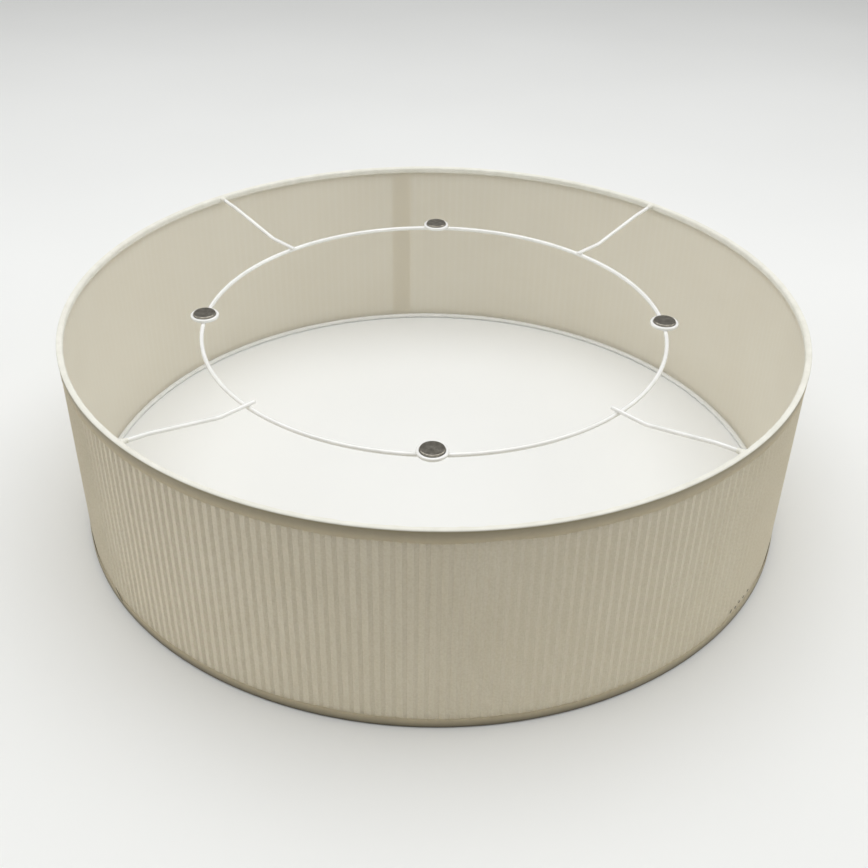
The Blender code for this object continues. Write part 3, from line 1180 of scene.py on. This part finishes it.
@dataclass
class SpokedFrame:
    """The drop ring and its four bent spokes, spot-welded on top of it and coated white."""

    coat: bpy.types.Material
    steel: bpy.types.Material
    ring_radius: float = 191.0 * MM
    ring_height: float = 154.0 * MM
    ring_wire: float = 3.5 * MM
    spoke_wire: float = 3.3 * MM
    spoke_level: float = 157.25 * MM
    tip: float = 185.5 * MM
    first_bend: float = 217.0 * MM
    second_bend: float = 274.0 * MM
    second_height: float = 170.0 * MM
    end: float = 295.3 * MM
    end_height: float = 172.9 * MM
    bend_radius: float = 30.0 * MM
    rim_wire: float = 3.2 * MM
    rim_depth: float = 1.9 * MM
    weld: tuple[float, float, float] = (1.9 * MM, 1.5 * MM, 1.1 * MM)
    sides: int = 16
    tip_points: int = 6

    def corners(self) -> list[tuple[float, float]]:
        """List the corners of a spoke's middle line.

        Returns:
            Its tip, bends and end as (radius, height).
        """
        return [
            (self.tip, self.spoke_level),
            (self.first_bend, self.spoke_level),
            (self.second_bend, self.second_height),
            (self.end, self.end_height),
        ]

    def build_rings(self) -> list[bpy.types.Object]:
        """Build the drop ring and the two rim wires inside the tapes.

        Returns:
            The drop ring, the top rim wire and the lower one.
        """
        drop = wire_ring("drop_ring_wire", self.ring_radius, self.ring_height, self.ring_wire, self.coat)
        finish_piece(drop, Slot.COATED, "drop_ring")
        top_z = SHADE_HEIGHT - self.rim_depth
        top = wire_ring("top_rim_wire", TOP_WIRE_RADIUS, top_z, self.rim_wire, self.steel)
        low = wire_ring("bottom_rim_wire", LOW_WIRE_RADIUS, self.rim_depth, self.rim_wire, self.steel)
        finish_piece(top, Slot.BARE, "top_ring")
        finish_piece(low, Slot.BARE, "bottom_ring")
        return [drop, top, low]

    def build_spoke(self, name: str, azimuth: float) -> bpy.types.Object:
        """Build one spoke as a bar along its rounded route, its tip sheared and softened by the coat.

        Args:
            name: The diagonal's name.
            azimuth: The spoke's angle round the axis.

        Returns:
            The spoke.
        """
        full = self.spoke_wire / 2.0
        route = rounded_route(self.corners(), self.bend_radius, 1.5 * MM)
        count = self.tip_points
        corner = arc_points((self.tip + 0.45 * full, 0.55 * full), 0.45 * full, 180.0, 90.0, count)
        tip = np.stack([corner[:, 0], np.full(count, self.spoke_level)], axis=-1)
        tip = np.vstack([[self.tip - 1e-6, self.spoke_level], tip])
        route = np.vstack([tip, route[1:]])
        radii = np.concatenate([[0.0], corner[:, 1], np.full(len(route) - count - 1, full)])
        points = bar_points(route, radii, radii, azimuth, self.sides)
        lengths = run_length(route[:, 0], route[:, 1])
        around = np.linspace(0.0, math.pi * self.spoke_wire, self.sides + 1)
        uv = plan_uv(lengths, around)
        obj = grid_object(f"spoke_wire_{name}", points, uv, self.coat, wrap_rows=True, poles=True)
        return finish_piece(obj, Slot.COATED, f"spoke_{name}")

    def build_weld(self, name: str, azimuth: float) -> bpy.types.Object:
        """Build the coated weld bead where a spoke crosses the ring: a flattened ball, 4 mm long.

        Args:
            name: The diagonal's name.
            azimuth: The spoke's angle round the axis.

        Returns:
            The bead.
        """
        up = np.radians(np.linspace(-90.0, 90.0, 13))
        angles = np.linspace(0.0, FULL_TURN, 24, endpoint=False)
        ball = round_axis(np.cos(up)[:, None], np.sin(up)[:, None], angles) * np.array(self.weld)
        outward = np.array([math.cos(azimuth), math.sin(azimuth), 0.0])
        across = np.array([-math.sin(azimuth), math.cos(azimuth), 0.0])
        centre = self.ring_radius * outward
        centre[2] = (self.ring_height + self.spoke_level) / 2.0
        points = centre + ball[..., :1] * across + ball[..., 1:2] * -outward
        points = points + ball[..., 2:] * np.array([0.0, 0.0, 1.0])
        uv = plan_uv(np.linspace(0.0, 15 * MM, 25), np.linspace(0.0, 6 * MM, 13))
        obj = grid_object(f"spoke_weld_{name}", points, uv, self.coat, wrap_columns=True, poles=True)
        return finish_piece(obj, Slot.COATED)


@dataclass
class TapeCollar:
    """The top tape drawn out along a spoke: a short neck that flares sideways into the roll."""

    material: bpy.types.Material
    frame: SpokedFrame
    root: float = 296.6 * MM
    root_height: float = 173.0 * MM
    reach: float = 6.0 * MM
    neck: float = 1.95 * MM
    flare: float = 3.2 * MM
    mouth: float = 1.70 * MM
    girth: float = 13.0 * MM
    rings: int = 15
    sides: int = 32

    def build(self, name: str, azimuth: float, seed: int) -> bpy.types.Object:
        """Build the neck as a tube, half neck + flare (1 - t)^3 wide, with a turned-in mouth.

        Args:
            name: The diagonal's name.
            azimuth: The spoke's angle.
            seed: The seed of its creases.

        Returns:
            The collar.
        """
        start = np.array([self.root, self.root_height])
        bend = np.array([self.frame.second_bend, self.frame.second_height])
        along = (bend - start) / np.linalg.norm(bend - start)
        share = np.linspace(0.0, 1.0, self.rings)
        creases = 1.0 + 0.04 * ripple(FULL_TURN * share, 1, 4, seed)
        widths = (self.neck + self.flare * (1.0 - share) ** 3) * creases
        heights = np.full(self.rings, self.neck)
        route = start[None] + along[None] * (share * self.reach)[:, None]
        tube = bar_points(route, widths, heights, azimuth, self.sides)
        middle = tube.mean(axis=0, keepdims=True)
        step = middle[:, -1:] - middle[:, -2:-1]
        rim = middle[:, -1:] + (tube[:, -1:] - middle[:, -1:]) * self.mouth / self.neck
        points = np.concatenate([tube, rim + 0.4 * step, rim - 1.5 * step], axis=1)
        around = 2 * MM + np.linspace(0.0, self.girth, self.sides + 1)
        uv = plan_uv(np.linspace(0.0, self.reach, self.rings + 2), around)
        obj = grid_object(f"tape_collar_{name}", points, uv, self.material, wrap_rows=True)
        return finish_piece(obj, Slot.TAPE)


@dataclass
class MagnetSeat:
    """A coated steel cup on the drop ring with a nickel-plated disc magnet that stands proud of it."""

    coat: bpy.types.Material
    nickel: bpy.types.Material
    ring_radius: float = 191.0 * MM
    base: float = 155.75 * MM
    cup_radius: float = 11.7 * MM
    cup_height: float = 2.75 * MM
    foot: float = 0.8 * MM
    lip: float = 1.0 * MM
    bore: float = 9.4 * MM
    floor: float = 0.8 * MM
    magnet_radius: float = 9.1 * MM
    magnet_top: float = 159.9 * MM
    magnet_edge: float = 0.7 * MM

    def build(self, name: str, azimuth: float) -> tuple[bpy.types.Object, bpy.types.Object]:
        """Build the cup and the magnet as turned profiles.

        Args:
            name: The quarter's name.
            azimuth: The quarter's angle.

        Returns:
            The cup and the magnet.
        """
        centre = (self.ring_radius * math.cos(azimuth), self.ring_radius * math.sin(azimuth))
        top = self.base + self.cup_height
        outer = self.cup_radius
        inner_lip = 0.5 * self.lip
        cup = np.vstack(
            [
                [[0.0, self.base], [0.5 * outer, self.base], [outer - self.foot, self.base]],
                arc_points((outer - self.foot, self.base + self.foot), self.foot, -90.0, 0.0, 5)[1:],
                arc_points((outer - self.lip, top - self.lip), self.lip, 0.0, 90.0, 8),
                arc_points((self.bore + inner_lip, top - inner_lip), inner_lip, 90.0, 180.0, 6),
                [[self.bore, self.base + self.floor], [0.0, self.base + self.floor]],
            ]
        )
        edge = self.magnet_edge
        disc = np.vstack(
            [
                [[0.0, self.base + self.floor], [self.magnet_radius - 0.2 * MM, self.base + self.floor]],
                [[self.magnet_radius, self.base + self.floor + 0.2 * MM]],
                arc_points((self.magnet_radius - edge, self.magnet_top - edge), edge, 0.0, 90.0, 8),
                [[0.6 * self.magnet_radius, self.magnet_top], [0.0, self.magnet_top]],
            ]
        )
        holder = turned_object(f"magnet_cup_coated_{name}", cup, self.coat, centre)
        magnet = turned_object(f"disc_magnet_{name}", disc, self.nickel, centre)
        finish_piece(holder, Slot.COATED, f"magnet_cup_{name}")
        finish_piece(magnet, Slot.NICKEL, f"magnet_{name}")
        return holder, magnet


# ---------------------------------------------------------------------------
# Stage
# ---------------------------------------------------------------------------


@dataclass
class Stage:
    """Pale paper under soft lights from above, both sides and the front, with a grey board in front."""

    lens: float = 47.0
    camera_place: tuple[float, float, float] = (0.0, -0.8326, 0.6076)
    pitch: float = math.radians(34.2)
    yaw: float = math.radians(0.08)
    roll: float = math.radians(1.0)
    floor_radius: float = 9.0
    ambient: float = 0.36

    def build_camera(self) -> None:
        """Aim the camera: down by pitch, turned by yaw, and rolled about its own axis."""
        data = bpy.data.cameras.new("camera")
        data.lens = self.lens
        camera = bpy.data.objects.new("camera", data)
        bpy.context.scene.collection.objects.link(camera)
        forward = Vector(
            (
                math.sin(self.yaw) * math.cos(self.pitch),
                math.cos(self.yaw) * math.cos(self.pitch),
                -math.sin(self.pitch),
            )
        )
        right = Vector((math.cos(self.yaw), -math.sin(self.yaw), 0.0))
        up = right.cross(forward)
        right, up = (
            right * math.cos(self.roll) + up * math.sin(self.roll),
            up * math.cos(self.roll) - right * math.sin(self.roll),
        )
        turn = Matrix((right, up, -forward)).transposed().to_4x4()
        camera.matrix_world = Matrix.Translation(self.camera_place) @ turn
        bpy.context.scene.camera = camera

    def build_floor(self) -> None:
        """Lay the paper: rings of points out to the floor's radius."""
        rings = np.array([1e-5, 0.5, 1.5, 4.0, self.floor_radius])
        angles = np.linspace(0.0, FULL_TURN, 64, endpoint=False)
        points = round_axis(rings[::-1, None], np.zeros((5, 1)), angles)
        uv = plan_uv(np.linspace(0.0, 1.0, 65), rings)
        paper = grid_object("floor_paper", points, uv, SweepPaper().build(), True, False, True)

    def add_panel_light(
        self, name: str, place: tuple[float, float, float], size: tuple[float, float], power: float
    ) -> None:
        """Hang a soft light that faces the shade.

        Args:
            name: Its name.
            place: Where it hangs.
            size: Its width and height.
            power: Its power in watts.
        """
        data = bpy.data.lights.new(name, "AREA")
        data.shape = "RECTANGLE"
        data.size, data.size_y = size
        data.energy = power
        light = bpy.data.objects.new(name, data)
        light.location = place
        light.rotation_euler = (Vector((0.0, 0.0, 0.1)) - Vector(place)).to_track_quat("-Z", "Y").to_euler()
        bpy.context.scene.collection.objects.link(light)

    def add_board(self, name: str, points: list[tuple[float, float, float]]) -> None:
        """Lay a grey board that soaks up light, but is hidden itself and shadows nothing.

        Args:
            name: Its name.
            points: Its corners.
        """
        mesh = bpy.data.meshes.new(name)
        mesh.from_pydata(points, [], [tuple(range(len(points)))])
        material, tree = new_material("board_matt_grey")
        face = add_node(tree, "BsdfPrincipled", {"Base Color": linear("6a6866"), "Roughness": 0.9})
        show(tree, face.outputs[0])
        mesh.materials.append(material)
        board = bpy.data.objects.new(name, mesh)
        board.visible_camera = False
        board.visible_shadow = False
        bpy.context.scene.collection.objects.link(board)

    def build_lights(self) -> None:
        """Hang the lights, lay the board and set a dim pale surround."""
        self.add_panel_light("softbox_above", (0.0, 0.15, 2.0), (2.6, 2.4), 36.8)
        self.add_panel_light("softbox_left", (-2.2, 0.1, 0.9), (1.6, 1.4), 8.5)
        self.add_panel_light("softbox_right", (2.2, 0.0, 0.9), (1.6, 1.4), 10.5)
        self.add_panel_light("softbox_front", (0.0, -2.3, 1.0), (2.0, 1.2), 2.5)
        corners = ((-2.0, -0.55), (-2.0, -3.0), (2.0, -3.0), (2.0, -0.55))
        self.add_board("board_front", [(x, y, 0.004) for x, y in corners])
        world = bpy.data.worlds.new("studio")
        world.use_nodes = True
        tree = world.node_tree
        tree.nodes.clear()
        path = add_node(tree, "LightPath")
        dim = add_node(tree, "Background", {"Color": linear("f3f3f1"), "Strength": self.ambient})
        seen = add_node(tree, "Background", {"Color": linear("e3e3e1"), "Strength": 1.0})
        mixed = add_node(
            tree, "MixShader", {"Fac": path.outputs["Is Camera Ray"], 1: dim.outputs[0], 2: seen.outputs[0]}
        )
        add_node(tree, "OutputWorld", {"Surface": mixed.outputs[0]})
        bpy.context.scene.world = world
        bpy.context.scene.view_settings.view_transform = "Standard"

    def build(self) -> None:
        """Build the camera, the floor and the lights."""
        self.build_camera()
        self.build_floor()
        self.build_lights()


DIAGONALS = {"northeast": 45.0, "northwest": 135.0, "southwest": 225.0, "southeast": 315.0}
QUARTERS = {"east": 0.0, "north": 90.0, "west": 180.0, "south": 270.0}


def main() -> None:
    """Build the shade's pieces in order, then the stage."""
    logging.basicConfig(level=logging.INFO, format="%(name)s %(message)s")
    fabric = PleatedPolycotton().build()
    laminate = ShadeLaminate().build()
    tape = WovenTape().build()
    pale_tape = WovenTape(
        dark="f1f3f2",
        light="f9fafa",
        on_cover="d2cab6",
        painted_shade_at_turn="887f6b",
        turn_through=0.15,
        # the wider turn carries the leg's painted shade round the lower corner, where a painted contact
        # shadow lies along the floor
        turn=2.2 * MM,
        painted_contact_shadow=0.3,
        name="cotton_tape_bleached",
    ).build()
    # dark thread ends, and the painted shade of a crease, at the lower tape's cut edge
    dark_marks = WovenTape(
        "4c473b", "645d4f", "565042", "565042", see_through=0.0, name="cotton_thread_dark"
    ).build()
    coat = PowderCoat().build()
    steel = DrawnSteel().build()
    nickel = NickelPlate().build()
    adhesive = TransferAdhesive().build()

    spoked = SpokedFrame(coat, steel)
    spoked.build_rings()
    LaminatePanel(laminate, adhesive).build()
    PleatedCover(fabric).build()
    EdgeTape(
        tape,
        Edge.TOP,
        leg=10.5 * MM,
        roll=1.95 * MM,
        wire_centre=TOP_WIRE_RADIUS,
        corner=1.1 * MM,
        overhang=0.25 * MM,
        inner_leg=2.0 * MM,
        seed=21,
    ).build("top_trim")
    EdgeTape(
        pale_tape,
        Edge.BOTTOM,
        leg=9.0 * MM,
        roll=1.85 * MM,
        wire_centre=LOW_WIRE_RADIUS,
        corner=1.8 * MM,
        overhang=0.0,
        seed=31,
    ).build("bottom_trim")
    EdgeMarks(dark_marks).build()
    collar = TapeCollar(tape, spoked)
    for number, (name, degrees) in enumerate(DIAGONALS.items()):
        azimuth = math.radians(degrees)
        spoked.build_spoke(name, azimuth)
        spoked.build_weld(name, azimuth)
        collar.build(name, azimuth, 50 + number)
    seat = MagnetSeat(coat, nickel)
    for name, degrees in QUARTERS.items():
        seat.build(name, math.radians(degrees))
    Stage().build()


if __name__ == "__main__":
    main()
